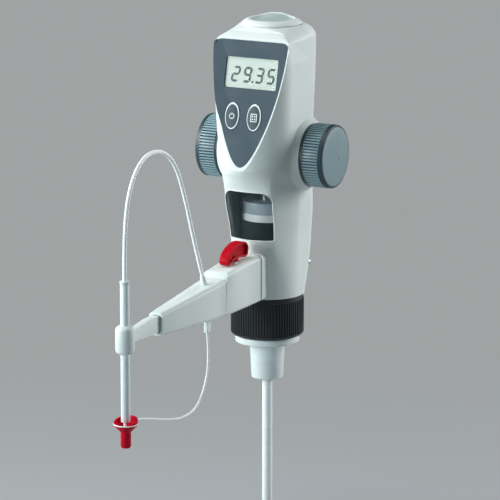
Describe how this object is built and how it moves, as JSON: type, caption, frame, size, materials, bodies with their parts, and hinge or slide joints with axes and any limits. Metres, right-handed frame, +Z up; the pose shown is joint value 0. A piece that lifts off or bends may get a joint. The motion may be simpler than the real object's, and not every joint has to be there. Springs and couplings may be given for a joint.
{
  "type": "digital burette",
  "caption": "Bottle-top digital burette with a leaning display head, side handwheels, a tapering delivery arm with lever valve, and a thin hose to a capped discharge tube.",
  "frame": {"origin": "centre of the underside of the bottle adapter's flange, where it rests on a bottle's lip", "axes": "+Z up along the column, away from the bottle; -Y along the delivery arm, towards the user; +X to the right handwheel as the user faces the display"},
  "size_m": [0.1152, 0.2838, 0.4468],
  "materials": {
    "translucent_plastic": "satin, slightly see-through",
    "black_plastic": "satin",
    "seal_rubber": "matt",
    "block_plastic": "satin",
    "fluoro_plastic": "waxy",
    "ceramic": "polished",
    "clear_glass": "clear",
    "dark_plastic": "matt",
    "housing_plastic": "satin",
    "panel_plastic": "satin",
    "display_glass": "satin",
    "board": "lacquered",
    "dome_steel": "bright",
    "button_plastic": "satin",
    "cell_jacket": "gloss",
    "frame_plastic": "matt",
    "steel": "bright",
    "bearing_bronze": "plain",
    "gear_plastic": "plain",
    "encoder_plastic": "plain",
    "wheel_plastic": "satin",
    "cover_plastic": "satin",
    "piston_plastic": "satin",
    "rod_steel": "bright",
    "red_plastic": "gloss",
    "hose_plastic": "waxy",
    "strap_plastic": "waxy"
  },
  "bodies": {
    "adapter": {"bottle_adapter": "translucent_plastic", "screw_collar": "black_plastic", "sealing_washer": "seal_rubber"},
    "head": {"valve_block": "block_plastic", "filling_valve": "fluoro_plastic", "valve_ball": "ceramic", "suction_tube_upper": "fluoro_plastic", "cylinder_seal": "seal_rubber", "glass_cylinder": "clear_glass", "cylinder_cradle": "dark_plastic", "front_housing": "housing_plastic", "rear_housing": "housing_plastic", "window_pane": "clear_glass", "display_panel": "panel_plastic", "display_window": "clear_glass", "lcd_module": "display_glass", "circuit_board": "board", "switch_domes": "dome_steel", "battery_holder": "dark_plastic", "batteries": "cell_jacket", "top_cap": "housing_plastic", "inner_frame": "frame_plastic", "housing_screws": "steel", "wheel_bushes": "bearing_bronze", "encoder_sensor": "dark_plastic", "delivery_arm": "housing_plastic", "discharge_duct": "block_plastic", "discharge_valve": "block_plastic", "hose_gland": "fluoro_plastic", "inner_duct": "hose_plastic", "strap_anchor": "fluoro_plastic", "hose_rising": "hose_plastic", "strap_upper": "strap_plastic"},
    "wheels": {"wheel_shaft": "steel", "left_handwheel": "wheel_plastic", "right_handwheel": "wheel_plastic", "wheel_covers": "cover_plastic", "drive_pinion": "steel"},
    "gear": {"layshaft": "steel", "reduction_gear": "gear_plastic", "rack_pinion": "steel", "encoder_disc": "encoder_plastic"},
    "piston": {"piston_rod": "rod_steel", "piston_head": "piston_plastic", "piston_seal": "fluoro_plastic"},
    "power_key": {"power_button": "button_plastic"},
    "mode_key": {"mode_button": "button_plastic"},
    "valve": {"valve_spindle": "fluoro_plastic", "valve_lever": "red_plastic"},
    "extension": {"arm_extension": "housing_plastic", "strap_middle": "strap_plastic"},
    "spout": {"discharge_tube": "fluoro_plastic", "tube_sleeve": "fluoro_plastic", "discharge_tip": "fluoro_plastic", "hose_falling": "hose_plastic"},
    "spout_cap": {"tube_cap": "red_plastic", "strap_lower": "strap_plastic"},
    "suction_tip": {"suction_tube_lower": "fluoro_plastic"},
    "hatch": {"battery_cover": "housing_plastic"}
  },
  "joints": [
    {"name": "head_swivel", "type": "hinge", "parent": "adapter", "child": "head", "pos_m": [0, 0, 0.0405], "axis": [0, 0, 1], "continuous": true},
    {"name": "wheel_turn", "type": "hinge", "parent": "head", "child": "wheels", "pos_m": [0, 0.008, 0.157], "axis": [1, 0, 0], "range_deg": [-1464.04, 719.2]},
    {"name": "gear_turn", "type": "hinge", "parent": "head", "child": "gear", "pos_m": [0, 0.008, 0.181], "axis": [1, 0, 0], "range_deg": [-181.05, 367.26]},
    {"name": "piston_slide", "type": "slide", "parent": "head", "child": "piston", "axis": [0, 0, 1], "range_m": [-0.0255, 0.0125]},
    {"name": "power_press", "type": "slide", "parent": "head", "child": "power_key", "axis": [0, 0.976, -0.2177], "range_m": [0, 0.0008], "stiffness_N_per_m": 300, "springref_m": -0.001},
    {"name": "mode_press", "type": "slide", "parent": "head", "child": "mode_key", "axis": [0, 0.976, -0.2177], "range_m": [0, 0.0008], "stiffness_N_per_m": 300, "springref_m": -0.001},
    {"name": "valve_turn", "type": "hinge", "parent": "head", "child": "valve", "pos_m": [0, -0.062, 0.07], "axis": [0, 0, 1], "range_deg": [0, 90]},
    {"name": "extension_slide", "type": "slide", "parent": "head", "child": "extension", "axis": [0, -1, 0], "range_m": [-0.025, 0.028], "deforming": ["hose_rising", "strap_upper"]},
    {"name": "spout_slide", "type": "slide", "parent": "extension", "child": "spout", "axis": [0, 0, 1], "range_m": [-0.025, 0.035], "deforming": ["hose_falling", "strap_middle"]},
    {"name": "cap_slide", "type": "slide", "parent": "spout", "child": "spout_cap", "axis": [0, 0, -1], "range_m": [0, 0.02], "deforming": ["strap_lower"]},
    {"name": "suction_slide", "type": "slide", "parent": "head", "child": "suction_tip", "axis": [0, 0, -1], "range_m": [0, 0.11]},
    {"name": "hatch_slide", "type": "slide", "parent": "head", "child": "hatch", "axis": [0, 1, 0], "range_m": [0, 0.015]}
  ],
  "couplings": [
    {"joint": "wheel_turn", "follows": "piston_slide", "rad_per_m": 1000},
    {"joint": "gear_turn", "follows": "piston_slide", "rad_per_m": -250}
  ]
}
